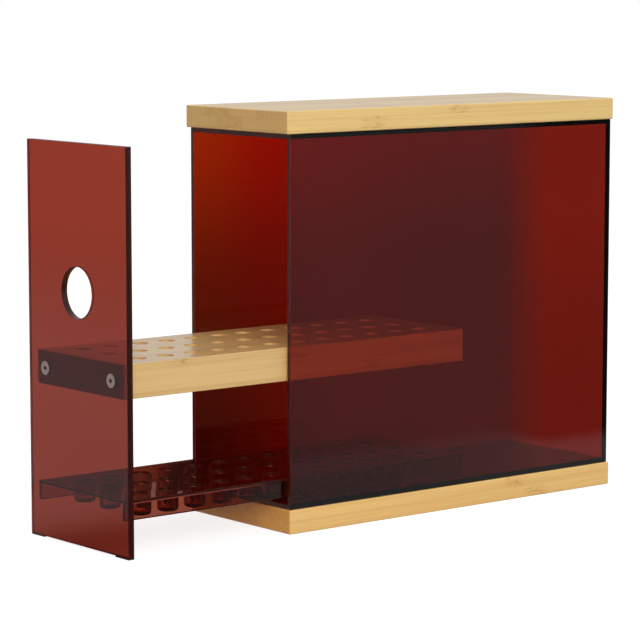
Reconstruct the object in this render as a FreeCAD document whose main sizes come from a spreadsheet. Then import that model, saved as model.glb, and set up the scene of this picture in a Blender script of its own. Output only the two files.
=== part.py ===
"""Brush holder with a pull-out drawer: an open-fronted acrylic case between two bamboo
boards, and a drawer whose bamboo rack holds the brushes upright over a row of cups.

Millimetres. +Z is up, the drawer opens towards -Y, and the origin is the centre of the
base board's underside. The drawer stands part-way open.
"""
import FreeCAD, Part
import Sketcher
import os

from FreeCAD import Vector
from math import cos, pi, sin

SIZES = [
    # the case and its two boards
    ("overall_height", 250.0, "table to the top of the top board"),
    ("case_width", 97.0, "outside, across the two acrylic sides"),
    ("case_depth", 262.0, "front edge of the sides to the back of the back plate"),
    ("sheet_thickness", 3.0, "acrylic sheet of the case and of the tray's walls"),
    ("base_thickness", 14.5, "bamboo base board"),
    ("top_thickness", 13.5, "bamboo top board"),
    ("board_overhang", 1.0, "boards past the acrylic at the sides and back"),
    ("top_front_overhang", 2.5, "top board past the acrylic at the front"),
    ("board_edge_radius", 0.8, "rounding of the boards' edges"),
    # the drawer's front panel
    ("drawer_opening", 112.5, "gap between the base board and the front panel"),
    ("panel_thickness", 4.0, "acrylic sheet of the front panel"),
    ("panel_top_gap", 2.5, "front panel's top below the top board"),
    ("finger_hole_diameter", 30.0, "hole that a finger pulls at"),
    ("finger_hole_height", 148.0, "centre of the finger hole above the table"),
    ("foot_width", 13.0, "pads under the front panel's corners"),
    ("foot_thickness", 0.7, "height of those pads"),
    # the rack
    ("rack_side_gap", 2.0, "rack to the inside of each case side"),
    ("rack_back_gap", 7.0, "closed rack and tray to the inside of the back plate"),
    ("rack_thickness", 20.0, "bamboo rack, top to bottom"),
    ("rack_edge_radius", 0.5, "rounding of the rack's edges"),
    ("handle_gap", 58.0, "top of the tray to the underside of the rack"),
    ("hole_diameter", 10.0, "brush holes, in the rack, the tray and the cups"),
    ("hole_columns", 12.0, "brush holes along the drawer"),
    ("hole_rows", 3.0, "brush holes across the drawer"),
    ("column_pitch", 19.3, "hole to hole along the drawer"),
    ("row_pitch", 26.0, "hole to hole across the drawer"),
    # the tray and its cups
    ("tray_thickness", 1.5, "drilled acrylic plate of the tray"),
    ("tray_side_gap", 1.5, "tray to the inside of each case side"),
    ("tray_floor_gap", 4.0, "tray walls above the case's floor plate"),
    ("tray_wall_drop", 10.0, "tray walls below the tray's plate"),
    ("cup_diameter", 12.5, "outside of a cup"),
    ("cup_drop", 11.0, "cups below the tray's plate"),
    ("cup_floor", 2.0, "thickness of a cup's bottom"),
    ("cup_edge_radius", 2.0, "rounding of a cup's bottom edge"),
    ("glide_length", 20.0, "glides under the back ends of the tray walls"),
    # the screws
    ("screw_spacing", 66.6, "screw to screw across the front panel"),
    ("screw_length", 20.0, "countersunk screw, head included"),
    ("screw_shank", 4.0, "shank of a screw"),
    ("screw_head", 8.2, "head of a screw"),
    ("screw_socket", 2.5, "hexagon socket, across the flats"),
    ("screw_socket_depth", 1.8, "depth of that socket"),
    ("pilot_allowance", 1.0, "pilot holes in the rack, past the screws' ends"),
    # fits
    ("running_gap", 0.3, "between the drawer and what it slides over"),
    ("screw_gap", 0.2, "screw holes of the front panel, over the screw's diameters"),
]

# expressions that several pieces share, written over the sheet's aliases
CASE_INNER_WIDTH = "(Sizes.case_width - 2 * Sizes.sheet_thickness)"
CASE_TOP = "(Sizes.overall_height - Sizes.top_thickness)"
TOP_PLATE_UNDERSIDE = f"({CASE_TOP} - Sizes.sheet_thickness)"
BOARD_WIDTH = "(Sizes.case_width + 2 * Sizes.board_overhang)"
CASE_FRONT = "(-Sizes.case_depth / 2)"
BASE_FRONT = f"({CASE_FRONT} - Sizes.board_overhang)"
BACK_PLATE_FRONT = "(Sizes.case_depth / 2 - Sizes.sheet_thickness)"
FLOOR_TOP = "(Sizes.base_thickness + Sizes.sheet_thickness)"

PANEL_BACK = f"({BASE_FRONT} - Sizes.drawer_opening)"
PANEL_FRONT = f"({PANEL_BACK} - Sizes.panel_thickness)"
PANEL_BOTTOM = "(Sizes.running_gap + Sizes.foot_thickness)"
PANEL_HEIGHT = f"({CASE_TOP} - Sizes.panel_top_gap - {PANEL_BOTTOM})"

RACK_WIDTH = f"({CASE_INNER_WIDTH} - 2 * Sizes.rack_side_gap)"
RACK_LENGTH = f"({BACK_PLATE_FRONT} - {BASE_FRONT} - Sizes.rack_back_gap)"
TRAY_WIDTH = f"({CASE_INNER_WIDTH} - 2 * Sizes.tray_side_gap)"
TRAY_WALL_BOTTOM = f"({FLOOR_TOP} + Sizes.tray_floor_gap)"
TRAY_UNDERSIDE = f"({TRAY_WALL_BOTTOM} + Sizes.tray_wall_drop)"
RACK_BOTTOM = f"({TRAY_UNDERSIDE} + Sizes.tray_thickness + Sizes.handle_gap)"
RACK_MIDDLE = f"({RACK_BOTTOM} + Sizes.rack_thickness / 2)"

ROWS_WIDTH = "((Sizes.hole_rows - 1) * Sizes.row_pitch)"
COLUMNS_LENGTH = "((Sizes.hole_columns - 1) * Sizes.column_pitch)"
FIRST_ROW = f"(-{ROWS_WIDTH} / 2)"
FIRST_COLUMN = f"(({RACK_LENGTH} - {COLUMNS_LENGTH}) / 2)"

HEAD_DEPTH = "((Sizes.screw_head - Sizes.screw_shank) / 2)"
PILOT_DEPTH = "(Sizes.screw_length - Sizes.panel_thickness + Sizes.pilot_allowance)"

doc = FreeCAD.newDocument("brush_holder")


def make_sheet():
    """The spreadsheet of driving sizes, one alias and one plain number to a row."""
    sheet = doc.addObject("Spreadsheet::Sheet", "Sizes")
    for row, (alias, value, meaning) in enumerate(SIZES, start=1):
        sheet.set(f"A{row}", alias)
        sheet.set(f"B{row}", str(value))
        sheet.set(f"C{row}", meaning)
        sheet.setAlias(f"B{row}", alias)
    doc.recompute()
    return sheet


def place(piece, left, front, bottom):
    """Bind where a piece's own origin goes to expressions over the sheet."""
    piece.setExpression("Placement.Base.x", left)
    piece.setExpression("Placement.Base.y", front)
    piece.setExpression("Placement.Base.z", bottom)


def plate(label, size, corner):
    """A flat piece of sheet: its three sizes and its lowest corner, as expressions."""
    piece = doc.addObject("Part::Box", label)
    piece.Label = label
    for side, expression in zip(("Length", "Width", "Height"), size):
        piece.setExpression(side, expression)
    place(piece, *corner)
    return piece


def new_body(label):
    body = doc.addObject("PartDesign::Body", label)
    body.Label = label
    return body


def new_sketch(body, name, plane, height="0"):
    """A sketch on one of the body's origin planes, lifted off it by height."""
    sketch = body.newObject("Sketcher::SketchObject", name)
    origin_plane = [f for f in body.Origin.OriginFeatures if f.Role == plane][0]
    sketch.AttachmentSupport = [(origin_plane, "")]
    sketch.MapMode = "FlatFace"
    sketch.setExpression("AttachmentOffset.Base.z", height)
    return sketch


def constrain(sketch, kind, first, second, expression, name):
    """Add a driving size between two points of a sketch and bind it to an expression."""
    index = sketch.addConstraint(Sketcher.Constraint(kind, *first, *second, 1.0))
    sketch.renameConstraint(index, name)
    sketch.setExpression(f"Constraints.{name}", expression)


def draw_rectangle(sketch, width, depth):
    """A rectangle with its first corner on the sketch's origin."""
    corners = [Vector(0, 0, 0), Vector(10, 0, 0), Vector(10, 5, 0), Vector(0, 5, 0)]
    for start, end in zip(corners, corners[1:] + corners[:1]):
        sketch.addGeometry(Part.LineSegment(start, end))
    for side in range(4):
        sketch.addConstraint(Sketcher.Constraint("Coincident", side, 2, (side + 1) % 4, 1))
    for side in (0, 2):
        sketch.addConstraint(Sketcher.Constraint("Horizontal", side))
        sketch.addConstraint(Sketcher.Constraint("Vertical", side + 1))
    sketch.addConstraint(Sketcher.Constraint("Coincident", 0, 1, -1, 1))
    constrain(sketch, "DistanceX", (0, 1), (0, 2), width, "width")
    constrain(sketch, "DistanceY", (1, 1), (1, 2), depth, "depth")


def draw_circle(sketch, name, centre_x, centre_y, diameter):
    """A circle whose centre and diameter are bound to expressions."""
    circle = sketch.addGeometry(Part.Circle(Vector(1, 1, 0), Vector(0, 0, 1), 1.0))
    constrain(sketch, "DistanceX", (-1, 1), (circle, 3), centre_x, f"{name}_x")
    constrain(sketch, "DistanceY", (-1, 1), (circle, 3), centre_y, f"{name}_y")
    index = sketch.addConstraint(Sketcher.Constraint("Diameter", circle, 2.0))
    sketch.renameConstraint(index, f"{name}_diameter")
    sketch.setExpression(f"Constraints.{name}_diameter", diameter)


def pad(body, sketch, length):
    feature = body.newObject("PartDesign::Pad", f"{body.Name}_pad")
    feature.Profile = sketch
    feature.setExpression("Length", length)
    sketch.Visibility = False
    return feature


def drill(body, sketch, name):
    """Cut a sketch's circles right through the body, both ways from the sketch."""
    feature = body.newObject("PartDesign::Pocket", name)
    feature.Profile = sketch
    feature.Type = "ThroughAll"
    feature.Midplane = True
    return feature


def repeat_on_grid(body, feature, sketch):
    """Repeat a feature over every row and column of brush holes."""
    grid = body.newObject("PartDesign::MultiTransform", f"{body.Name}_grid")
    steps = (
        ("rows", "H_Axis", ROWS_WIDTH, "Sizes.hole_rows"),
        ("columns", "V_Axis", COLUMNS_LENGTH, "Sizes.hole_columns"),
    )
    patterns = []
    for name, axis, length, count in steps:
        pattern = body.newObject("PartDesign::LinearPattern", f"{body.Name}_{name}")
        pattern.Direction = (sketch, [axis])
        pattern.setExpression("Length", length)
        pattern.setExpression("Occurrences", count)
        patterns.append(pattern)
    grid.Originals = [feature]
    grid.Transformations = patterns
    body.Tip = grid


def soften(body, feature, edges, radius):
    """Round the named edges of a body's feature."""
    fillet = body.newObject("PartDesign::Fillet", f"{body.Name}_fillet")
    fillet.Base = (feature, edges)
    fillet.setExpression("Radius", radius)
    body.Tip = fillet


def board(label, width, length, thickness, radius):
    """A bamboo board with rounded edges, its lowest front left corner at its origin."""
    body = new_body(label)
    outline = new_sketch(body, f"{label}_outline", "XY_Plane")
    draw_rectangle(outline, width, length)
    slab = pad(body, outline, thickness)
    doc.recompute()
    all_edges = [f"Edge{number + 1}" for number in range(len(slab.Shape.Edges))]
    soften(body, slab, all_edges, radius)
    return body


def mirrored_pair(label, piece):
    """A piece and its mirror image across the middle of the holder, as one sub-part."""
    twin = doc.addObject("Part::Mirroring", f"{label}_twin")
    twin.Source = piece
    twin.Base = Vector(0, 0, 0)
    twin.Normal = Vector(1, 0, 0)
    pair = doc.addObject("Part::Compound", label)
    pair.Label = label
    pair.Links = [piece, twin]
    return pair


def make_boards():
    base = board(
        "base_board",
        BOARD_WIDTH,
        "Sizes.case_depth + 2 * Sizes.board_overhang",
        "Sizes.base_thickness",
        "Sizes.board_edge_radius",
    )
    place(base, f"-{BOARD_WIDTH} / 2", BASE_FRONT, "0")
    top = board(
        "top_board",
        BOARD_WIDTH,
        "Sizes.case_depth + Sizes.top_front_overhang + Sizes.board_overhang",
        "Sizes.top_thickness",
        "Sizes.board_edge_radius",
    )
    place(top, f"-{BOARD_WIDTH} / 2", f"{CASE_FRONT} - Sizes.top_front_overhang", CASE_TOP)
    return [base, top]


def make_case():
    """Five acrylic plates. The top plate lies over the rest, and the back plate covers
    the back edges of the two sides."""
    wall_height = f"{TOP_PLATE_UNDERSIDE} - Sizes.base_thickness"
    inner_depth = f"{BACK_PLATE_FRONT} - {CASE_FRONT}"
    side_size = ("Sizes.sheet_thickness", inner_depth, wall_height)
    return [
        plate(
            "case_floor_plate",
            (CASE_INNER_WIDTH, inner_depth, "Sizes.sheet_thickness"),
            (f"-{CASE_INNER_WIDTH} / 2", CASE_FRONT, "Sizes.base_thickness"),
        ),
        plate(
            "case_top_plate",
            ("Sizes.case_width", "Sizes.case_depth", "Sizes.sheet_thickness"),
            ("-Sizes.case_width / 2", CASE_FRONT, TOP_PLATE_UNDERSIDE),
        ),
        plate(
            "case_side_left",
            side_size,
            ("-Sizes.case_width / 2", CASE_FRONT, "Sizes.base_thickness"),
        ),
        plate(
            "case_side_right",
            side_size,
            (f"{CASE_INNER_WIDTH} / 2", CASE_FRONT, "Sizes.base_thickness"),
        ),
        plate(
            "case_back_plate",
            ("Sizes.case_width", "Sizes.sheet_thickness", wall_height),
            ("-Sizes.case_width / 2", BACK_PLATE_FRONT, "Sizes.base_thickness"),
        ),
    ]


def make_front_panel():
    """The drawer's front: a taller sheet with a finger hole and two countersunk holes."""
    body = new_body("front_panel")
    outline = new_sketch(body, "panel_outline", "XZ_Plane")
    draw_rectangle(outline, BOARD_WIDTH, PANEL_HEIGHT)
    pad(body, outline, "Sizes.panel_thickness")
    hole = new_sketch(body, "finger_hole_outline", "XZ_Plane")
    draw_circle(
        hole,
        "finger_hole",
        f"{BOARD_WIDTH} / 2",
        f"Sizes.finger_hole_height - {PANEL_BOTTOM}",
        "Sizes.finger_hole_diameter",
    )
    drill(body, hole, "finger_hole")
    screws = new_sketch(body, "screw_hole_centres", "XZ_Plane", "Sizes.panel_thickness")
    for side, sign in (("left", "-"), ("right", "+")):
        draw_circle(
            screws,
            f"{side}_screw",
            f"{BOARD_WIDTH} / 2 {sign} Sizes.screw_spacing / 2",
            f"{RACK_MIDDLE} - {PANEL_BOTTOM}",
            "Sizes.screw_shank + Sizes.screw_gap",
        )
    doc.recompute()
    countersink = body.newObject("PartDesign::Hole", "screw_holes")
    countersink.Profile = screws
    doc.recompute()
    countersink.Threaded = False
    countersink.DepthType = "ThroughAll"
    countersink.HoleCutType = "Countersink"
    countersink.HoleCutCountersinkAngle = 90
    countersink.setExpression("Diameter", "Sizes.screw_shank + Sizes.screw_gap")
    countersink.setExpression("HoleCutDiameter", "Sizes.screw_head + Sizes.screw_gap")
    body.Tip = countersink
    place(body, f"-{BOARD_WIDTH} / 2", PANEL_BACK, PANEL_BOTTOM)
    return body


def make_panel_feet():
    pad_piece = plate(
        "panel_foot",
        ("Sizes.foot_width", "Sizes.panel_thickness", "Sizes.foot_thickness"),
        (f"-{BOARD_WIDTH} / 2", PANEL_FRONT, "Sizes.running_gap"),
    )
    return mirrored_pair("panel_feet", pad_piece)


def make_rack():
    """The bamboo block that holds the brushes, with its grid of holes and the two
    pilot holes in its front end."""
    body = board(
        "brush_rack",
        RACK_WIDTH,
        RACK_LENGTH,
        "Sizes.rack_thickness",
        "Sizes.rack_edge_radius",
    )
    hole = new_sketch(body, "rack_hole_outline", "XY_Plane")
    draw_circle(
        hole,
        "brush_hole",
        f"{RACK_WIDTH} / 2 + {FIRST_ROW}",
        FIRST_COLUMN,
        "Sizes.hole_diameter",
    )
    first_hole = drill(body, hole, "rack_hole")
    repeat_on_grid(body, first_hole, hole)
    pilots = new_sketch(body, "pilot_hole_outline", "XZ_Plane")
    for side, sign in (("left", "-"), ("right", "+")):
        draw_circle(
            pilots,
            f"{side}_pilot",
            f"{RACK_WIDTH} / 2 {sign} Sizes.screw_spacing / 2",
            "Sizes.rack_thickness / 2",
            "Sizes.screw_shank",
        )
    pilot_holes = body.newObject("PartDesign::Pocket", "pilot_holes")
    pilot_holes.Profile = pilots
    pilot_holes.setExpression("Length", PILOT_DEPTH)
    body.Tip = pilot_holes
    place(body, f"-{RACK_WIDTH} / 2", PANEL_BACK, RACK_BOTTOM)
    return body


def make_screws():
    """Two countersunk socket screws that hold the front panel to the rack's end."""
    body = new_body("rack_screw")
    half = new_sketch(body, "screw_profile", "XY_Plane")
    draw_screw_profile(half)
    turned = body.newObject("PartDesign::Revolution", "screw_turned")
    turned.Profile = half
    turned.ReferenceAxis = (half, ["V_Axis"])
    turned.Angle = 360
    socket = new_sketch(body, "screw_socket_outline", "XZ_Plane")
    draw_hexagon(socket, "Sizes.screw_socket")
    cut = body.newObject("PartDesign::Pocket", "screw_socket")
    cut.Profile = socket
    cut.setExpression("Length", "Sizes.screw_socket_depth")
    body.Tip = cut
    place(body, "-Sizes.screw_spacing / 2", PANEL_FRONT, RACK_MIDDLE)
    return mirrored_pair("rack_screws", body)


def draw_screw_profile(sketch):
    """Half of the screw's section: head, cone, shank and a flat end, along +Y."""
    corners = [
        Vector(0, 0, 0),
        Vector(4, 0, 0),
        Vector(2, 2, 0),
        Vector(2, 20, 0),
        Vector(0, 20, 0),
    ]
    count = len(corners)
    for start, end in zip(corners, corners[1:] + corners[:1]):
        sketch.addGeometry(Part.LineSegment(start, end))
    for side in range(count):
        following = (side + 1) % count
        sketch.addConstraint(Sketcher.Constraint("Coincident", side, 2, following, 1))
    sketch.addConstraint(Sketcher.Constraint("Coincident", 0, 1, -1, 1))
    sketch.addConstraint(Sketcher.Constraint("Horizontal", 0))
    sketch.addConstraint(Sketcher.Constraint("Vertical", 2))
    sketch.addConstraint(Sketcher.Constraint("Horizontal", 3))
    sketch.addConstraint(Sketcher.Constraint("Vertical", 4))
    constrain(sketch, "DistanceX", (0, 1), (0, 2), "Sizes.screw_head / 2", "head")
    constrain(sketch, "DistanceX", (3, 2), (3, 1), "Sizes.screw_shank / 2", "shank")
    constrain(sketch, "DistanceY", (1, 1), (1, 2), HEAD_DEPTH, "cone")
    constrain(sketch, "DistanceY", (0, 1), (3, 2), "Sizes.screw_length", "long")


def draw_hexagon(sketch, across_flats):
    """A regular hexagon about the sketch's origin, its corners on a construction circle."""
    points = [Vector(2 * cos(k * pi / 3), 2 * sin(k * pi / 3), 0) for k in range(6)]
    for start, end in zip(points, points[1:] + points[:1]):
        sketch.addGeometry(Part.LineSegment(start, end))
    circle = sketch.addGeometry(Part.Circle(Vector(0, 0, 0), Vector(0, 0, 1), 2.0), True)
    for side in range(6):
        following = (side + 1) % 6
        sketch.addConstraint(Sketcher.Constraint("Coincident", side, 2, following, 1))
        sketch.addConstraint(Sketcher.Constraint("PointOnObject", side, 1, circle))
    for side in range(1, 6):
        sketch.addConstraint(Sketcher.Constraint("Equal", 0, side))
    sketch.addConstraint(Sketcher.Constraint("Coincident", circle, 3, -1, 1))
    sketch.addConstraint(Sketcher.Constraint("Horizontal", 1))
    index = sketch.addConstraint(Sketcher.Constraint("Diameter", circle, 4.0))
    sketch.renameConstraint(index, "across_corners")
    sketch.setExpression("Constraints.across_corners", f"{across_flats} / cos(30deg)")


def make_tray():
    """A low acrylic table under the rack: a thin drilled plate on two walls."""
    body = new_body("tray_plate")
    outline = new_sketch(body, "tray_outline", "XY_Plane")
    draw_rectangle(outline, TRAY_WIDTH, RACK_LENGTH)
    pad(body, outline, "Sizes.tray_thickness")
    hole = new_sketch(body, "tray_hole_outline", "XY_Plane")
    draw_circle(
        hole,
        "tray_hole",
        f"{TRAY_WIDTH} / 2 + {FIRST_ROW}",
        FIRST_COLUMN,
        "Sizes.hole_diameter",
    )
    first_hole = drill(body, hole, "tray_hole")
    repeat_on_grid(body, first_hole, hole)
    place(body, f"-{TRAY_WIDTH} / 2", PANEL_BACK, TRAY_UNDERSIDE)
    wall_size = ("Sizes.sheet_thickness", RACK_LENGTH, "Sizes.tray_wall_drop")
    left = plate(
        "tray_wall_left",
        wall_size,
        (f"-{TRAY_WIDTH} / 2", PANEL_BACK, TRAY_WALL_BOTTOM),
    )
    right = plate(
        "tray_wall_right",
        wall_size,
        (f"{TRAY_WIDTH} / 2 - Sizes.sheet_thickness", PANEL_BACK, TRAY_WALL_BOTTOM),
    )
    return [body, left, right]


def make_glides():
    glide = plate(
        "tray_glide",
        ("Sizes.sheet_thickness", "Sizes.glide_length", "Sizes.tray_floor_gap - Sizes.running_gap"),
        (
            f"-{TRAY_WIDTH} / 2",
            f"{PANEL_BACK} + {RACK_LENGTH} - Sizes.glide_length",
            f"{FLOOR_TOP} + Sizes.running_gap",
        ),
    )
    return mirrored_pair("tray_glides", glide)


def make_cups(sheet):
    """One blind cup under every hole of the tray, all in one sub-part."""
    outer = sheet.cup_diameter / 2
    drop = sheet.cup_drop
    blank = Part.makeCylinder(outer, drop)
    bottom_edge = [e for e in blank.Edges if e.BoundBox.ZMax < drop / 2 and e.Closed]
    rounding = min(sheet.cup_edge_radius, drop / 2)
    blank = blank.makeFillet(rounding, bottom_edge)
    hollow = Part.makeCylinder(
        sheet.hole_diameter / 2, drop - sheet.cup_floor, Vector(0, 0, sheet.cup_floor)
    )
    cup = blank.cut(hollow)
    columns = int(sheet.hole_columns)
    rows = int(sheet.hole_rows)
    tray = doc.getObject("tray_plate")
    width = tray.Shape.BoundBox.XLength
    length = tray.Shape.BoundBox.YLength
    first_x = (width - (rows - 1) * sheet.row_pitch) / 2
    first_y = (length - (columns - 1) * sheet.column_pitch) / 2
    cups = []
    for row in range(rows):
        for column in range(columns):
            copy = cup.copy()
            place_x = first_x + row * sheet.row_pitch
            place_y = first_y + column * sheet.column_pitch
            copy.translate(Vector(place_x, place_y, -drop))
            cups.append(copy)
    group = doc.addObject("Part::Feature", "tray_cups")
    group.Label = "tray_cups"
    group.Shape = Part.makeCompound(cups)
    group.Placement = tray.Placement
    return group


def check(pieces):
    """Stop if any object failed to build or any sub-part is empty or invalid."""
    for thing in doc.Objects:
        failed = [state for state in thing.State if state in ("Invalid", "Error")]
        if failed:
            raise RuntimeError(f"{thing.Label} did not build: {failed}")
    for piece in pieces:
        if piece.Shape.isNull() or not piece.Shape.isValid():
            raise RuntimeError(f"{piece.Label} has no valid shape")


def main():
    sheet = make_sheet()
    pieces = make_boards() + make_case() + [make_front_panel(), make_panel_feet()]
    pieces += [make_rack(), make_screws()] + make_tray() + [make_glides()]
    doc.recompute()
    pieces.append(make_cups(sheet))
    doc.recompute()
    check(pieces)
    os.makedirs("parts", exist_ok=True)
    for piece in pieces:
        box = piece.Shape.BoundBox
        solids = len(piece.Shape.Solids)
        print(
            f"{piece.Label}: {solids} solid(s), {piece.Shape.Volume / 1000:.2f} cm3, "
            f"X {box.XMin:.2f}..{box.XMax:.2f} Y {box.YMin:.2f}..{box.YMax:.2f} "
            f"Z {box.ZMin:.2f}..{box.ZMax:.2f}"
        )
        piece.Shape.exportStep(f"parts/{piece.Label}.step")


main()
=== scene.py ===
"""The looks of a brush holder: bamboo boards and rack, tinted acrylic case and drawer."""
from math import radians

import bpy
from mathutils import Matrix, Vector


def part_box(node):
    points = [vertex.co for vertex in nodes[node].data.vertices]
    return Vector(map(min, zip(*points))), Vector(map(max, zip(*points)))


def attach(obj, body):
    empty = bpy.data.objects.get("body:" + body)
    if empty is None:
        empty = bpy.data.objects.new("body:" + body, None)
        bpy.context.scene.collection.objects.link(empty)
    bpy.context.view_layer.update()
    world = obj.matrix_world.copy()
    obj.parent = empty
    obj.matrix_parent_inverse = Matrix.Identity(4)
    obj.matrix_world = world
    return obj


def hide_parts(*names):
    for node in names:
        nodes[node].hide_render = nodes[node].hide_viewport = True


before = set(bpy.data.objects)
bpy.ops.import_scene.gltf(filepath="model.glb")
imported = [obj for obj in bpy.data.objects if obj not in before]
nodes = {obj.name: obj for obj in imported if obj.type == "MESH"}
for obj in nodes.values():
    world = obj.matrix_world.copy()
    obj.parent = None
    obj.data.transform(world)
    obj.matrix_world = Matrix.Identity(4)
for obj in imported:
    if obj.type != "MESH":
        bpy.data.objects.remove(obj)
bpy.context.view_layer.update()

# ---------------------------------------------------------------------------------
# The two boards are laminated bamboo, two layers of strips glued side by side and
# planed flat, with a satin varnish. The base carries the case and the top caps it.
# ---------------------------------------------------------------------------------

BAMBOO_PALE = "#dfbd79"
BAMBOO_BROWN = "#c99e60"
BAMBOO_KNOT = "#a87c42"
GLUE_LINE = "#b08850"
# the end faces are multiplied by this: the end grain's own darker tone, and painted shade on the boards'
# ends
END_GRAIN_TINT_AND_SHADE = (0.85, 0.77, 0.66, 1.0)
GLUE_LINE_WIDTH = 0.00018
STRIP_STAGGER = 0.43
# the grain's noise, in repeats to the metre across the strips, along them and through them
FIBRES = (1300.0, 20.0, 1300.0)
STREAKS = (320.0, 5.0, 320.0)
KNOT_DASHES = (900.0, 150.0, 900.0)
KNOT_RIPPLE, KNOT_RIPPLE_DEPTH = 90.0, 0.004
KNOT_CORE, KNOT_REACH = 0.001, 0.013
# how far each of them turns the pale wood brown, and what it does to the varnish
STRIP_TONE, STREAK_TONE, FIBRE_TONE, KNOT_TONE = 0.4, 0.35, 0.28, 0.2
END_FIBRE_TONE = -0.15
DASH_SHARE, GLUE_SHARE = 0.6, 0.35
VARNISH_ROUGHNESS, FIBRE_ROUGHNESS, END_ROUGHNESS = 0.34, 0.16, 0.15
GLUE_RELIEF, DASH_RELIEF = 1.5, -0.6


def linear(code):
    """A colour written as six hexadecimal digits, as a shader socket takes it."""
    channels = [int(code[i:i + 2], 16) / 255 for i in (1, 3, 5)]
    curved = [c / 12.92 if c <= 0.04045 else ((c + 0.055) / 1.055) ** 2.4 for c in channels]
    return (*curved, 1.0)


def add(tree, kind, settings=None, **sockets):
    """One shader node. Each socket takes a value or a link, and is named with _ for a
    space, or in2 for the third one where several share a name."""
    node = tree.nodes.new(kind)
    for name, value in (settings or {}).items():
        setattr(node, name, value)
    for name, value in sockets.items():
        by_number = name.startswith("in") and name[2:].isdigit()
        key = int(name[2:]) if by_number else name.replace("_", " ")
        if isinstance(value, bpy.types.NodeSocket):
            tree.links.new(value, node.inputs[key])
        else:
            node.inputs[key].default_value = value
    return node


def work_out(tree, operation, first, second=0.0, third=0.0):
    """The value of a Math node."""
    node = add(tree, "ShaderNodeMath", {"operation": operation}, in0=first, in1=second, in2=third)
    return node.outputs[0]


def step_between(tree, value, start, end):
    """0 before start, 1 after end, and smooth between them."""
    ramp = add(
        tree,
        "ShaderNodeMapRange",
        {"interpolation_type": "SMOOTHSTEP"},
        Value=value,
        From_Min=start,
        From_Max=end,
    )
    return ramp.outputs["Result"]


def blend_colours(tree, share, first, second, mode="MIX"):
    """Two colours mixed by a share from 0 to 1."""
    settings = {"data_type": "RGBA", "blend_type": mode}
    return add(tree, "ShaderNodeMix", settings, in0=share, in6=first, in7=second).outputs[2]


def stretched_noise(tree, vector, repeats, **sockets):
    """Noise with its own number of repeats to the metre along X, Y and Z."""
    stretch = add(tree, "ShaderNodeMapping", {"vector_type": "POINT"}, Vector=vector, Scale=repeats)
    noise = add(tree, "ShaderNodeTexNoise", Vector=stretch.outputs[0], Scale=1.0, **sockets)
    return noise.outputs["Fac"]


def new_group(name, inputs, outputs):
    """An empty shader node group with named sockets, each with a kind and a value."""
    tree = bpy.data.node_groups.new(name, "ShaderNodeTree")
    for label, kind, value in inputs:
        socket = tree.interface.new_socket(label, in_out="INPUT", socket_type=kind)
        if value is not None:
            socket.default_value = value
    for label, kind in outputs:
        tree.interface.new_socket(label, in_out="OUTPUT", socket_type=kind)
    return tree, tree.nodes.new("NodeGroupInput"), tree.nodes.new("NodeGroupOutput")


bamboo_group, given, results = new_group(
    "bamboo_strips",
    [
        ("Vector", "NodeSocketVector", None),
        ("Normal", "NodeSocketVector", None),
        ("Strip Width", "NodeSocketFloat", 0.025),
        ("Layer Height", "NodeSocketFloat", 0.007),
        ("Knot Spacing", "NodeSocketFloat", 0.26),
        ("Knot Shift", "NodeSocketFloat", 0.0),
        ("Seed", "NodeSocketFloat", 0.0),
        ("Pale", "NodeSocketColor", linear(BAMBOO_PALE)),
        ("Brown", "NodeSocketColor", linear(BAMBOO_BROWN)),
        ("Knot", "NodeSocketColor", linear(BAMBOO_KNOT)),
        ("Glue", "NodeSocketColor", linear(GLUE_LINE)),
        ("End Tint", "NodeSocketColor", END_GRAIN_TINT_AND_SHADE),
    ],
    [("Color", "NodeSocketColor"), ("Roughness", "NodeSocketFloat"), ("Height", "NodeSocketFloat")],
)
tree = bamboo_group
place = add(tree, "ShaderNodeSeparateXYZ", Vector=given.outputs["Vector"])

# which layer and which strip a point is in, and how far it is from their glue lines
layers = work_out(tree, "DIVIDE", place.outputs["Z"], given.outputs["Layer Height"])
layer = work_out(tree, "FLOOR", layers)
stagger = work_out(tree, "MULTIPLY_ADD", layer, STRIP_STAGGER, given.outputs["Seed"])
strips = work_out(tree, "DIVIDE", place.outputs["X"], given.outputs["Strip Width"])
strips = work_out(tree, "ADD", strips, stagger)
strip = work_out(tree, "FLOOR", strips)
cell = add(tree, "ShaderNodeCombineXYZ", X=strip, Y=layer, Z=given.outputs["Seed"])
lot = add(tree, "ShaderNodeTexWhiteNoise", {"noise_dimensions": "3D"}, Vector=cell.outputs[0])
lot_parts = add(tree, "ShaderNodeSeparateColor", Color=lot.outputs["Color"])
side_gap = work_out(tree, "PINGPONG", strips, 0.5)
side_gap = work_out(tree, "MULTIPLY", side_gap, given.outputs["Strip Width"])
level_gap = work_out(tree, "PINGPONG", layers, 0.5)
level_gap = work_out(tree, "MULTIPLY", level_gap, given.outputs["Layer Height"])
nearest_joint = work_out(tree, "MINIMUM", side_gap, level_gap)
glue = work_out(tree, "SUBTRACT", 1.0, step_between(tree, nearest_joint, 0.0, GLUE_LINE_WIDTH))

# fibres: noise drawn out along Y, moved on by a different amount in each strip
moved = add(
    tree,
    "ShaderNodeVectorMath",
    {"operation": "MULTIPLY_ADD"},
    in0=lot.outputs["Color"],
    in1=(0.3, 0.9, 0.3),
    in2=given.outputs["Vector"],
).outputs[0]
fibre = stretched_noise(tree, moved, FIBRES, Detail=3.0, Roughness=0.6)
streak = stretched_noise(tree, moved, STREAKS, Detail=2.0, Roughness=0.5)

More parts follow.
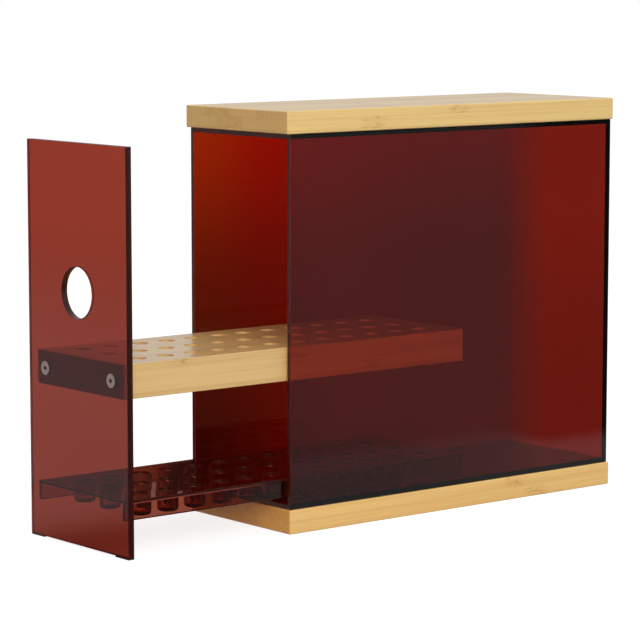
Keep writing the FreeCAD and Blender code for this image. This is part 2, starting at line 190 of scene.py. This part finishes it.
# knots: a soft band of short dark dashes across each strip, at its own place along it,
# and none of it on the ends of the strips
facing = add(tree, "ShaderNodeSeparateXYZ", Vector=given.outputs["Normal"])
end_grain = step_between(tree, work_out(tree, "ABSOLUTE", facing.outputs["Y"]), 0.6, 0.95)
long_grain = work_out(tree, "SUBTRACT", 1.0, end_grain)
ripple = add(tree, "ShaderNodeTexNoise", Vector=given.outputs["Vector"], Scale=KNOT_RIPPLE, Detail=2.0)
along = work_out(tree, "MULTIPLY_ADD", ripple.outputs["Fac"], KNOT_RIPPLE_DEPTH, place.outputs["Y"])
along = work_out(tree, "SUBTRACT", along, given.outputs["Knot Shift"])
along = work_out(tree, "DIVIDE", along, given.outputs["Knot Spacing"])
along = work_out(tree, "ADD", along, lot_parts.outputs["Green"])
knot_gap = work_out(tree, "PINGPONG", along, 0.5)
knot_gap = work_out(tree, "MULTIPLY", knot_gap, given.outputs["Knot Spacing"])
knot_shade = work_out(tree, "SUBTRACT", 1.0, step_between(tree, knot_gap, KNOT_CORE, KNOT_REACH))
knot_shade = work_out(tree, "MULTIPLY", knot_shade, long_grain)
dash = stretched_noise(tree, moved, KNOT_DASHES, Detail=1.0)
dashes = work_out(tree, "MULTIPLY", step_between(tree, dash, 0.52, 0.68), knot_shade)

# the wood's colour: strip by strip, then its streaks, fibres, knots and glue lines
tone = work_out(tree, "MULTIPLY_ADD", lot_parts.outputs["Red"], STRIP_TONE, -STRIP_TONE / 2)
tone = work_out(tree, "MULTIPLY_ADD", step_between(tree, streak, 0.35, 0.7), STREAK_TONE, tone)
fibre_tone = work_out(tree, "MULTIPLY_ADD", end_grain, END_FIBRE_TONE, FIBRE_TONE)
tone = work_out(tree, "MULTIPLY_ADD", step_between(tree, fibre, 0.42, 0.8), fibre_tone, tone)
tone = work_out(tree, "MULTIPLY_ADD", knot_shade, KNOT_TONE, tone)
wood = blend_colours(tree, tone, given.outputs["Pale"], given.outputs["Brown"])
wood = blend_colours(tree, work_out(tree, "MULTIPLY", dashes, DASH_SHARE), wood, given.outputs["Knot"])
wood = blend_colours(tree, work_out(tree, "MULTIPLY", glue, GLUE_SHARE), wood, given.outputs["Glue"])
# on the ends, the end tint: the end grain's own tone and painted shade
wood = blend_colours(tree, end_grain, wood, given.outputs["End Tint"], "MULTIPLY")
tree.links.new(wood, results.inputs["Color"])
rough = work_out(tree, "MULTIPLY_ADD", fibre, FIBRE_ROUGHNESS, VARNISH_ROUGHNESS)
rough = work_out(tree, "MULTIPLY_ADD", end_grain, END_ROUGHNESS, rough)
tree.links.new(rough, results.inputs["Roughness"])
relief = work_out(tree, "SUBTRACT", fibre, work_out(tree, "MULTIPLY", glue, GLUE_RELIEF))
relief = work_out(tree, "MULTIPLY_ADD", dashes, DASH_RELIEF, relief)
tree.links.new(relief, results.inputs["Height"])


def principled(name):
    """A material with nothing but its Principled shader and its output."""
    material = bpy.data.materials.new(name)
    material.use_nodes = True
    return material, material.node_tree, material.node_tree.nodes["Principled BSDF"]


def set_plain(shader, **sockets):
    """Plain values on a shader's own sockets, named with _ for a space."""
    for name, value in sockets.items():
        shader.inputs[name.replace("_", " ")].default_value = value


def bamboo(name, **values):
    """Varnished bamboo, with the group's own values for this piece."""
    material, tree, shader = principled(name)
    where = add(tree, "ShaderNodeTexCoord")
    strips = add(
        tree,
        "ShaderNodeGroup",
        {"node_tree": bamboo_group},
        Vector=where.outputs["Object"],
        Normal=where.outputs["Normal"],
        **values,
    )
    bump = add(tree, "ShaderNodeBump", Height=strips.outputs["Height"], Strength=0.25, Distance=0.0001)
    tree.links.new(strips.outputs["Color"], shader.inputs["Base Color"])
    tree.links.new(strips.outputs["Roughness"], shader.inputs["Roughness"])
    tree.links.new(bump.outputs["Normal"], shader.inputs["Normal"])
    set_plain(shader, Coat_Weight=0.7, Coat_Roughness=0.22)
    return material


def finish_node(node, material):
    """Give a carried-over part its material and the slot that it stands for."""
    nodes[node].data.materials.clear()
    nodes[node].data.materials.append(material)


BASE_PALE = "#ecc277"
BASE_BROWN = "#d2a057"
# the base's front end carries a painted red-orange shade, as of light through the drawer's red plastic,
# over its end grain's own tone
BASE_END_TINT_AND_SHADE = (1.0, 0.75, 0.45, 1.0)
base_colours = {"Pale": linear(BASE_PALE), "Brown": linear(BASE_BROWN), "End_Tint": BASE_END_TINT_AND_SHADE}
finish_node("base_board", bamboo("base_bamboo", Layer_Height=0.00725, Seed=0.31, **base_colours))
finish_node("top_board", bamboo("top_bamboo", Layer_Height=0.0068, Knot_Shift=-0.114, Seed=0.72))

# ---------------------------------------------------------------------------------
# The case is five sheets of red-brown tinted acrylic, cut to size, welded with solvent
# and their arrises taken off. A weld is as clear as the sheets and shows no line, so the
# five are one clear piece here, like a box with a hollow cut into its front.
# ---------------------------------------------------------------------------------

ARRIS = 0.0004
JOINT_AIR = 0.00004
TINT = (0.753, 0.239, 0.056, 1.0)
TINT_DENSITY = 900.0
ACRYLIC_IOR = 1.49
CUT_EDGE = "cut_edge"
# a painted glow: an emission on the cut faces for the little light that a tinted sheet gathers and lets
# out there
PAINTED_EDGE_GLOW = (0.02, 0.001, 0.0, 1.0)
EDGE_ROUGHNESS, POLISH_ROUGHNESS = 0.3, 0.02
SAW_LINES, WIPE_MARKS = 1800.0, 35.0
CUTTER_PROUD = 0.002

cut_edge_group, given, results = new_group(
    "cut_edge",
    [
        ("Vector", "NodeSocketVector", None),
        ("Edge", "NodeSocketFloat", 0.0),
        ("Glow", "NodeSocketColor", PAINTED_EDGE_GLOW),
    ],
    [("Roughness", "NodeSocketFloat"), ("Height", "NodeSocketFloat"), ("Glow", "NodeSocketColor")],
)
tree = cut_edge_group
edge = given.outputs["Edge"]
lines = add(tree, "ShaderNodeTexNoise", Vector=given.outputs["Vector"], Scale=SAW_LINES, Detail=2.0)
wipe = add(tree, "ShaderNodeTexNoise", Vector=given.outputs["Vector"], Scale=WIPE_MARKS, Detail=3.0)
wiped = step_between(tree, wipe.outputs["Fac"], 0.4, 0.8)
polish = work_out(tree, "MULTIPLY", wiped, POLISH_ROUGHNESS)
rough = work_out(tree, "MULTIPLY_ADD", edge, EDGE_ROUGHNESS, polish)
tree.links.new(rough, results.inputs["Roughness"])
tree.links.new(work_out(tree, "MULTIPLY", edge, lines.outputs["Fac"]), results.inputs["Height"])
glow = blend_colours(tree, edge, (0.0, 0.0, 0.0, 1.0), given.outputs["Glow"])
tree.links.new(glow, results.inputs["Glow"])


def acrylic(name):
    """Clear tinted acrylic whose colour is in its depth. It is polished but for the faces
    that mark_cut_edges marks, which carry a painted glow, an emission for the light that the sheet
    gathers and lets out."""
    material, tree, shader = principled(name)
    where = add(tree, "ShaderNodeTexCoord")
    marked = add(tree, "ShaderNodeAttribute", {"attribute_name": CUT_EDGE})
    cut = add(
        tree,
        "ShaderNodeGroup",
        {"node_tree": cut_edge_group},
        Vector=where.outputs["Object"],
        Edge=marked.outputs["Fac"],
    )
    bump = add(tree, "ShaderNodeBump", Height=cut.outputs["Height"], Strength=0.15, Distance=0.00003)
    tree.links.new(cut.outputs["Roughness"], shader.inputs["Roughness"])
    tree.links.new(bump.outputs["Normal"], shader.inputs["Normal"])
    # the cut faces' painted glow, an emission
    tree.links.new(cut.outputs["Glow"], shader.inputs["Emission Color"])
    set_plain(
        shader,
        Base_Color=(1.0, 1.0, 1.0, 1.0),
        Transmission_Weight=1.0,
        IOR=ACRYLIC_IOR,
        Emission_Strength=1.0,
    )
    depth = add(tree, "ShaderNodeVolumeAbsorption", Color=TINT, Density=TINT_DENSITY)
    tree.links.new(depth.outputs["Volume"], tree.nodes["Material Output"].inputs["Volume"])
    return material


def nothing_selected():
    """Leave edit mode and deselect every object."""
    if bpy.context.object and bpy.context.object.mode != "OBJECT":
        bpy.ops.object.mode_set(mode="OBJECT")
    bpy.ops.object.select_all(action="DESELECT")


def select_only(piece):
    """Select one piece and make it the active one."""
    nothing_selected()
    piece.select_set(True)
    bpy.context.view_layer.objects.active = piece


def block(name, low, high):
    """A box between two corners, its place in its mesh."""
    nothing_selected()
    bpy.ops.mesh.primitive_cube_add(size=1, location=(low + high) / 2, scale=high - low)
    piece = bpy.context.object
    piece.name = piece.data.name = name
    bpy.ops.object.transform_apply(location=True, rotation=True, scale=True)
    return piece


def round_bar(name, radius, depth, centre, vertices=48, turned=(0, 0, 0)):
    """A cylinder about a centre, its place in its mesh."""
    nothing_selected()
    bpy.ops.mesh.primitive_cylinder_add(
        vertices=vertices, radius=radius, depth=depth, location=centre, rotation=turned
    )
    piece = bpy.context.object
    piece.name = piece.data.name = name
    bpy.ops.object.transform_apply(location=True, rotation=True, scale=True)
    return piece


def apply_modifier(piece, kind, **settings):
    """Add a modifier, set it and apply it."""
    select_only(piece)
    modifier = piece.modifiers.new(kind.lower(), kind)
    for name, value in settings.items():
        setattr(modifier, name, value)
    bpy.ops.object.modifier_apply(modifier=modifier.name)


def ease_edges(piece):
    """Take the sharp edges off a cut sheet."""
    apply_modifier(piece, "BEVEL", width=ARRIS, segments=1, limit_method="ANGLE", angle_limit=radians(35))


def mark_cut_edges(piece, is_cut):
    """Mark the faces that a test on each polygon says were cut and not polished."""
    marks = piece.data.attributes.new(CUT_EDGE, "FLOAT", "FACE")
    for face in piece.data.polygons:
        marks.data[face.index].value = float(is_cut(face))


def cut_away(piece, cutter):
    """Cut one piece's shape out of another, and delete the cutter."""
    apply_modifier(piece, "BOOLEAN", operation="DIFFERENCE", solver="EXACT", object=cutter)
    bpy.data.objects.remove(cutter)


def smooth(piece, angle=30):
    """Shade a piece smooth, but for its edges past an angle in degrees."""
    select_only(piece)
    bpy.ops.object.shade_smooth_by_angle(angle=radians(angle))


def dress(piece, node, body, material):
    """Finish a new piece: its material, the body that it moves with, and the node that it replaces,
    hidden.
    """
    piece.data.materials.clear()
    piece.data.materials.append(material)
    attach(piece, body)
    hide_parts(node)


air = Vector((JOINT_AIR, JOINT_AIR, JOINT_AIR))
side_left, side_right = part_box("case_side_left"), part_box("case_side_right")
floor_sheet, top_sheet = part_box("case_floor_plate"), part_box("case_top_plate")
back_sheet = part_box("case_back_plate")
case_front = side_left[0].y
outside_low = Vector((side_left[0].x, case_front, floor_sheet[0].z)) + air
outside_high = Vector((side_right[1].x, back_sheet[1].y, top_sheet[1].z)) - air
shell = block("case_shell", outside_low, outside_high)
hollow_low = Vector((side_left[1].x, case_front - CUTTER_PROUD, floor_sheet[1].z))
hollow_high = Vector((side_right[0].x, back_sheet[0].y, top_sheet[0].z))
cut_away(shell, block("hollow_cutter", hollow_low, hollow_high))

# the arrises are taken off the outside and round the opening, not in the inner corners
sharp = shell.data.attributes.new("bevel_weight_edge", "FLOAT", "EDGE")
for line in shell.data.edges:
    ends = [shell.data.vertices[i].co for i in line.vertices]
    outside = all(abs(end.x) > outside_high.x - ARRIS for end in ends)
    in_front = all(end.y < case_front + ARRIS for end in ends)
    sharp.data[line.index].value = float(outside or in_front)
apply_modifier(shell, "BEVEL", width=ARRIS, segments=1, limit_method="WEIGHT")
mark_cut_edges(shell, lambda face: face.center.y < case_front + 2 * ARRIS and abs(face.normal.x) < 0.9)
dress(shell, "case_side_right", "case", acrylic("case_acrylic"))
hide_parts("case_side_left", "case_back_plate", "case_floor_plate", "case_top_plate")

# ---------------------------------------------------------------------------------
# The drawer's front is a thicker sheet of the same acrylic, with a round finger hole
# and two countersunk screw holes, standing on two thin rubber pads.
# ---------------------------------------------------------------------------------

FINGER_HOLE_RADIUS = 0.015
FINGER_HOLE_HEIGHT = 0.148
SCREW_HOLE_RADIUS = 0.0021
COUNTERSINK_RADIUS = 0.0042
CONE_PROUD = 0.0005
BACKWARD = (radians(90), 0, 0)

drawer_acrylic = acrylic("drawer_acrylic")
low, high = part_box("front_panel")
thickness = high.y - low.y
middle_y = (low.y + high.y) / 2
panel = block("front_panel_sheet", low, high - Vector((0, JOINT_AIR, 0)))
finger_hole = Vector((0, middle_y, FINGER_HOLE_HEIGHT))
cutter_length = thickness + CUTTER_PROUD
cut_away(panel, round_bar("finger_cutter", FINGER_HOLE_RADIUS, cutter_length, finger_hole, 96, BACKWARD))
screw_low, screw_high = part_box("rack_screws")
screw_x = screw_high.x - (screw_high.z - screw_low.z) / 2
screw_z = (screw_high.z + screw_low.z) / 2
screw_places = [Vector((side * screw_x, middle_y, screw_z)) for side in (-1, 1)]
for centre in screw_places:
    cut_away(panel, round_bar("screw_cutter", SCREW_HOLE_RADIUS, cutter_length, centre, 32, BACKWARD))
ease_edges(panel)
for centre in screw_places:
    nothing_selected()
    bpy.ops.mesh.primitive_cone_add(
        vertices=32,
        radius1=COUNTERSINK_RADIUS + CONE_PROUD,
        radius2=0,
        depth=COUNTERSINK_RADIUS + CONE_PROUD,
        location=(centre.x, low.y + (COUNTERSINK_RADIUS - CONE_PROUD) / 2, screw_z),
        rotation=(radians(-90), 0, 0),
    )
    cut_away(panel, bpy.context.object)
mark_cut_edges(panel, lambda face: abs(face.normal.y) < 0.5)
smooth(panel)
dress(panel, "front_panel", "drawer", drawer_acrylic)

FOOT_GREY = "#1b1b1d"
FOOT_WORN = "#2b2a2c"
rubber, tree, shader = principled("foot_rubber")
where = add(tree, "ShaderNodeTexCoord")
grain = add(tree, "ShaderNodeTexNoise", Vector=where.outputs["Object"], Scale=2500.0, Detail=2.0)
bump = add(tree, "ShaderNodeBump", Height=grain.outputs["Fac"], Strength=0.3, Distance=0.0001)
worn = blend_colours(tree, grain.outputs["Fac"], linear(FOOT_GREY), linear(FOOT_WORN))
tree.links.new(worn, shader.inputs["Base Color"])
rough = work_out(tree, "MULTIPLY_ADD", grain.outputs["Fac"], 0.2, 0.6)
tree.links.new(rough, shader.inputs["Roughness"])
tree.links.new(bump.outputs["Normal"], shader.inputs["Normal"])
finish_node("panel_feet", rubber)

# ---------------------------------------------------------------------------------
# The rack is a block of bamboo with straight thin laminations, drilled through for
# the brush handles. Two countersunk socket screws of bright steel hold the panel to it.
# ---------------------------------------------------------------------------------

RACK_PALE = "#d6b276"
RACK_BROWN = "#bd9359"
# the rack's ends: the end grain's own tone and painted shade
RACK_END_TINT_AND_SHADE = (1.0, 0.78, 0.62, 1.0)
finish_node(
    "brush_rack",
    bamboo(
        "rack_bamboo",
        Strip_Width=0.0062,
        Layer_Height=0.0067,
        Knot_Spacing=0.23,
        Seed=0.5,
        Pale=linear(RACK_PALE),
        Brown=linear(RACK_BROWN),
        End_Tint=RACK_END_TINT_AND_SHADE,
    ),
)

STEEL = "#f6dcd8"
STEEL_DULL = "#8f7d7b"
STEEL_MARKS = (900.0, 9000.0, 900.0)
steel, tree, shader = principled("screw_steel")
where = add(tree, "ShaderNodeTexCoord")
marks = stretched_noise(tree, where.outputs["Object"], STEEL_MARKS, Detail=3.0)
bump = add(tree, "ShaderNodeBump", Height=marks, Strength=0.15, Distance=0.00003)
shade = blend_colours(tree, marks, linear(STEEL), linear(STEEL_DULL))
tree.links.new(shade, shader.inputs["Base Color"])
tree.links.new(work_out(tree, "MULTIPLY_ADD", marks, 0.25, 0.2), shader.inputs["Roughness"])
tree.links.new(bump.outputs["Normal"], shader.inputs["Normal"])
set_plain(shader, Metallic=1.0)
finish_node("rack_screws", steel)

# ---------------------------------------------------------------------------------
# The tray is an acrylic plate drilled like the rack, glued on two low walls whose back
# ends carry small glides. A blind cup is glued under each hole to hold a handle's end.
# ---------------------------------------------------------------------------------

HOLE_RADIUS = 0.005
COLUMNS, COLUMN_PITCH = 12, 0.0193
ROWS, ROW_PITCH = 3, 0.026
CUP_RADIUS, CUP_FLOOR, CUP_ROUNDING = 0.00625, 0.002, 0.002

cup_low, cup_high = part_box("tray_cups")
first_hole = Vector((cup_low.x + CUP_RADIUS, cup_low.y + CUP_RADIUS, cup_high.z))


def repeat(piece, count, pitch):
    """Copy a piece along a line, each copy a pitch on from the last."""
    apply_modifier(
        piece,
        "ARRAY",
        count=count,
        use_relative_offset=False,
        use_constant_offset=True,
        constant_offset_displace=pitch,
    )


def repeat_over_holes(piece):
    """Copy a piece from the first brush hole to all the others."""
    repeat(piece, COLUMNS, (0, COLUMN_PITCH, 0))
    repeat(piece, ROWS, (ROW_PITCH, 0, 0))


low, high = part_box("tray_plate")
plate = block("tray_plate_sheet", low + air, high - air)
cutter = round_bar("hole_cutter", HOLE_RADIUS, high.z - low.z + CUTTER_PROUD, first_hole, 40)
repeat_over_holes(cutter)
cut_away(plate, cutter)
ease_edges(plate)
mark_cut_edges(plate, lambda face: abs(face.normal.z) < 0.5)
smooth(plate)
dress(plate, "tray_plate", "drawer", drawer_acrylic)

for node in ("tray_wall_left", "tray_wall_right"):
    low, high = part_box(node)
    wall = block(node + "_sheet", low + air, high - air)
    ease_edges(wall)
    mark_cut_edges(wall, lambda face: abs(face.normal.x) < 0.5)
    dress(wall, node, "drawer", drawer_acrylic)

low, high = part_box("tray_glides")
wall_low, wall_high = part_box("tray_wall_left")
glide_width = wall_high.x - wall_low.x
glides = block("tray_glide_pads", low + air, Vector((low.x + glide_width, high.y, high.z)) - air)
ease_edges(glides)
repeat(glides, 2, (high.x - low.x - glide_width, 0, 0))
mark_cut_edges(glides, lambda face: abs(face.normal.x) < 0.5)
dress(glides, "tray_glides", "drawer", drawer_acrylic)

cup_drop = cup_high.z - cup_low.z - JOINT_AIR
cup_middle = first_hole - Vector((0, 0, JOINT_AIR + cup_drop / 2))
cups = round_bar("tray_cup_set", CUP_RADIUS, cup_drop, cup_middle, 40)
bpy.ops.object.mode_set(mode="EDIT")
bpy.ops.mesh.select_mode(type="FACE")
bpy.ops.mesh.select_all(action="DESELECT")
bpy.ops.object.mode_set(mode="OBJECT")
for face in cups.data.polygons:
    face.select = face.normal.z > 0.9
bpy.ops.object.mode_set(mode="EDIT")
bpy.ops.mesh.inset(thickness=CUP_RADIUS - HOLE_RADIUS)
bpy.ops.mesh.extrude_region_move(TRANSFORM_OT_translate={"value": (0, 0, CUP_FLOOR - cup_drop)})
bpy.ops.mesh.select_all(action="DESELECT")
bpy.ops.object.mode_set(mode="OBJECT")
bottom = min(corner.co.z for corner in cups.data.vertices)
for line in cups.data.edges:
    line.select = all(cups.data.vertices[i].co.z < bottom + 0.00001 for i in line.vertices)
bpy.ops.object.mode_set(mode="EDIT")
bpy.ops.mesh.select_mode(type="EDGE")
bpy.ops.mesh.bevel(offset=CUP_ROUNDING, segments=5, affect="EDGES")
bpy.ops.object.mode_set(mode="OBJECT")
repeat_over_holes(cups)
smooth(cups, 40)
dress(cups, "tray_cups", "drawer", acrylic("cup_plastic"))

# ---------------------------------------------------------------------------------
# The studio: a pale floor that shows as white paper, with painted light and painted
# reflections on it by place that show only through and in the plastic, soft light from the
# right and from above, two cards, a painted shadow and a painted dark reflection, that show
# only through and in the plastic, and the camera at the height of a person sitting at the table.
# ---------------------------------------------------------------------------------

FLOOR_SIZE = 14.0
FLOOR_GREY = "#a3a2a1"
FLOOR_GLOW = 0.8
# levels of the paper's emission, painted light and painted reflection, for rays through the plastic and
# in gloss
NEAR_THROUGH_GLASS, FAR_THROUGH_GLASS = 0.35, 0.63
GLOSS_BESIDE_FRONT, GLOSS_BESIDE_BACK = 0.36, 0.42
GLOSS_AWAY, GLOSS_BEHIND, GLOSS_IN_FRONT = 0.25, 0.03, 0.03
GLOSS_LOW_ON_PANEL, GLOSS_HIGH_ON_PANEL = 0.36, 0.12
ROOM_LEVEL = 0.5
ROOM_IN_GLOSS = 0.62
ROOM_THROUGH_GLASS = 0.6
# where those levels change on the floor, in metres
BEHIND_LEFT = (0.2, 3.2)
AWAY_FROM_SIDE, AWAY_SHIFT_BEHIND = (0.22, 0.27), 0.055
AHEAD_OF_PANEL = (-0.55, -1.3)
LEFT_OF_MIDDLE = (0.0, -0.1)
# and by the slope of a line from where the camera is mirrored in the right side
MIRROR_X, MIRROR_Y = -1.2388, -1.1546
SLOPES_BESIDE, SLOPES_BEHIND, SLOPES_IN_FRONT = (0.845, 0.977), (0.916, 0.963), (0.804, 0.743)


def blend(tree, share, first, second):
    """Two values mixed by a share from 0 to 1."""
    mix = add(tree, "ShaderNodeMix", {"data_type": "FLOAT"}, in0=share, in2=first, in3=second)
    return mix.outputs[0]


def by_ray(tree, otherwise, seen, through_glass, in_gloss):
    """A value for what the camera sees straight, through plastic and in a gloss."""
    ray = add(tree, "ShaderNodeLightPath")
    value = otherwise
    for kind, level in (("Glossy", in_gloss), ("Transmission", through_glass), ("Camera", seen)):
        value = blend(tree, ray.outputs[f"Is {kind} Ray"], value, level)
    return value


nothing_selected()
bpy.ops.mesh.primitive_plane_add(size=FLOOR_SIZE, location=(0, 0, 0))
floor = bpy.context.object
floor.name = floor.data.name = "floor"
paper, tree, shader = principled("floor_paper")
set_plain(shader, Roughness=0.9, Emission_Color=(1.0, 1.0, 1.0, 1.0))
where = add(tree, "ShaderNodeTexCoord")
parts = add(tree, "ShaderNodeSeparateXYZ", Vector=where.outputs["Object"])
floor_x, floor_y = parts.outputs["X"], parts.outputs["Y"]
# painted light: through the plastic, the paper's emission is brightest far behind and to the left
depth = step_between(tree, work_out(tree, "SUBTRACT", floor_y, floor_x), *BEHIND_LEFT)
through = blend(tree, depth, NEAR_THROUGH_GLASS, FAR_THROUGH_GLASS)
# painted reflection: in the gloss of the right side, the paper's emission is bright just beside the
# holder and dim behind it
run = work_out(tree, "SUBTRACT", floor_x, MIRROR_X)
slope = work_out(tree, "DIVIDE", work_out(tree, "SUBTRACT", floor_y, MIRROR_Y), run)
beside = step_between(tree, slope, *SLOPES_BESIDE)
beside = blend(tree, beside, GLOSS_BESIDE_FRONT, GLOSS_BESIDE_BACK)
behind = step_between(tree, slope, *SLOPES_BEHIND)
away = blend(tree, behind, GLOSS_AWAY, GLOSS_BEHIND)
reach = work_out(tree, "MULTIPLY_ADD", behind, AWAY_SHIFT_BEHIND, floor_x)
gloss = blend(tree, step_between(tree, reach, *AWAY_FROM_SIDE), beside, away)
gloss = blend(tree, step_between(tree, slope, *SLOPES_IN_FRONT), gloss, GLOSS_IN_FRONT)
# painted reflection: in the gloss of the drawer's front, the emission dims away from the holder
ahead = step_between(tree, floor_y, *AHEAD_OF_PANEL)
at_panel = blend(tree, ahead, GLOSS_LOW_ON_PANEL, GLOSS_HIGH_ON_PANEL)
gloss = blend(tree, step_between(tree, floor_x, *LEFT_OF_MIDDLE), gloss, at_panel)
glow = by_ray(tree, 0.0, FLOOR_GLOW, through, gloss)
tree.links.new(glow, shader.inputs["Emission Strength"])
unlit = by_ray(tree, 0.0, 0.0, 0.0, 1.0)
paper_colour = blend_colours(tree, unlit, linear(FLOOR_GREY), (0.0, 0.0, 0.0, 1.0))
tree.links.new(paper_colour, shader.inputs["Base Color"])
floor.data.materials.append(paper)

world = bpy.data.worlds.new("studio")
bpy.context.scene.world = world
world.use_nodes = True
tree = world.node_tree
background = tree.nodes["Background"]
background.inputs["Color"].default_value = (1.0, 1.0, 1.0, 1.0)
level = by_ray(tree, ROOM_LEVEL, 1.0, ROOM_THROUGH_GLASS, ROOM_IN_GLOSS)
tree.links.new(level, background.inputs["Strength"])

# the case's own red shadow on the paper, as its clear sides show it: a card that
# nothing but rays through the plastic can see
CARD_X = -0.1
CARD_FRONT, CARD_BACK = -0.135, 0.225
SHADOW_FRONT = -0.1
CARD_TOP = 0.6
SHADOW_WARM = (0.64, 0.14, 0.0, 1.0)
SHADOW_COLD = (0.64, 0.022, 0.0, 1.0)
SHADOW_DEEP_FRONT = (0.04, 0.004, 0.0, 1.0)
SHADOW_DEEP_BACK = (0.21, 0.012, 0.0, 1.0)
SHADOW_FADE = 0.165
# where the shadow's light falls off, from its front and from the floor, in metres
LIT_TO, LIT_FROM_FLOOR, LIT_SHARE = 0.12, (0.0, 0.26), 0.47
TOP_LIGHT, TOP_LIGHT_SHARE = (0.13, 0.25), 0.5
COOLING = (-0.09, -0.03)
DEEP_TO = 0.04
FLAG_FRONT, FLAG_TOP = -0.255, 0.1
FLAG_BLACK = (0.03, 0.012, 0.01, 1.0)


def studio_card(name, front, back, top, seen_by_glass, seen_in_gloss):
    """An upright card beside the holder, which casts no shadow and which the camera sees
    only in the plastic."""
    nothing_selected()
    bpy.ops.mesh.primitive_plane_add(
        size=1, location=(CARD_X, (front + back) / 2, top / 2), rotation=(0, radians(90), 0)
    )
    card = bpy.context.object
    card.name = card.data.name = name
    card.scale = (top, back - front, 1)
    bpy.ops.object.transform_apply(location=True, rotation=True, scale=True)
    card.visible_camera = card.visible_diffuse = card.visible_shadow = False
    card.visible_transmission = seen_by_glass
    card.visible_glossy = seen_in_gloss
    material = bpy.data.materials.new(name)
    material.use_nodes = True
    material.node_tree.nodes.remove(material.node_tree.nodes["Principled BSDF"])
    card.data.materials.append(material)
    return material.node_tree


tree = studio_card("shadow_card", CARD_FRONT, CARD_BACK, CARD_TOP, True, False)
where = add(tree, "ShaderNodeTexCoord")
parts = add(tree, "ShaderNodeSeparateXYZ", Vector=where.outputs["Object"])
card_y, card_z = parts.outputs["Y"], parts.outputs["Z"]
nearness = work_out(tree, "SUBTRACT", 1.0, step_between(tree, card_y, SHADOW_FRONT, LIT_TO))
share = work_out(tree, "MULTIPLY", nearness, step_between(tree, card_z, *LIT_FROM_FLOOR))
share = work_out(tree, "MULTIPLY", share, LIT_SHARE)
share = work_out(tree, "MULTIPLY_ADD", step_between(tree, card_z, *TOP_LIGHT), TOP_LIGHT_SHARE, share)
inward = step_between(tree, card_y, SHADOW_FRONT, DEEP_TO)
light = blend_colours(tree, step_between(tree, card_y, *COOLING), SHADOW_WARM, SHADOW_COLD)
deep = blend_colours(tree, inward, SHADOW_DEEP_FRONT, SHADOW_DEEP_BACK)
lit = blend_colours(tree, share, deep, light)
shine = add(tree, "ShaderNodeEmission", Color=lit, Strength=1.0)
gone = add(tree, "ShaderNodeBsdfTransparent")
past_back = step_between(tree, card_y, SHADOW_FADE, CARD_BACK)
past_front = step_between(tree, card_y, SHADOW_FRONT, CARD_FRONT)
past = work_out(tree, "ADD", past_back, past_front)
fading = add(tree, "ShaderNodeMixShader", in0=past, in1=shine.outputs[0], in2=gone.outputs[0])
tree.links.new(fading.outputs[0], tree.nodes["Material Output"].inputs["Surface"])

# a black flag, low beside the open drawer, seen only in gloss: a painted dark reflection that keeps the
# white room's glare off its tray
tree = studio_card("black_flag", FLAG_FRONT, CARD_BACK, FLAG_TOP, False, True)
shine = add(tree, "ShaderNodeEmission", Color=FLAG_BLACK, Strength=1.0)
tree.links.new(shine.outputs[0], tree.nodes["Material Output"].inputs["Surface"])


def facing_turn(place, aim):
    """How a lamp or a camera at one point is turned to face another."""
    return (Vector(aim) - Vector(place)).to_track_quat("-Z", "Y").to_euler()


def softbox(name, place, watts):
    """A square lamp that faces the holder, with no glare of its own on varnish or steel."""
    lamp = bpy.data.lights.new(name, "AREA")
    lamp.size = SOFTBOX_SIZE
    lamp.energy = watts
    holder = bpy.data.objects.new(name, lamp)
    bpy.context.scene.collection.objects.link(holder)
    holder.visible_glossy = False
    holder.location = place
    holder.rotation_euler = facing_turn(place, MIDDLE)
    return holder


MIDDLE = (0.0, -0.06, 0.12)
SOFTBOX_SIZE = 1.6
RIGHT_PLACE, RIGHT_WATTS = (2.4, -1.3, 1.2), 63.5
TOP_PLACE, TOP_WATTS = (0.2, -0.5, 2.6), 16.0
THROUGH_SHARE = 0.45
softbox("right_softbox", RIGHT_PLACE, RIGHT_WATTS * (1 - THROUGH_SHARE))
softbox("top_softbox", TOP_PLACE, TOP_WATTS)

# a clear case lets part of the light in, so it doesn't shade this share of it
clear_case = bpy.data.collections.new("clear_case")
clear_case.objects.link(shell)
clear_case.collection_objects[0].light_linking.link_state = "EXCLUDE"
inner_light = softbox("right_softbox_inside", RIGHT_PLACE, RIGHT_WATTS * THROUGH_SHARE)
inner_light.light_linking.blocker_collection = clear_case

CAMERA_PLACE = (1.3358, -1.1546, 0.3345)
CAMERA_AIM = (0.0, -0.069, 0.1182)
lens = bpy.data.cameras.new("camera")
lens.sensor_width = 36.0
lens.lens = 159.24
camera = bpy.data.objects.new("camera", lens)
bpy.context.scene.collection.objects.link(camera)
camera.location = CAMERA_PLACE
camera.rotation_euler = facing_turn(CAMERA_PLACE, CAMERA_AIM)
bpy.context.scene.camera = camera
bpy.context.scene.view_settings.view_transform = "Standard"
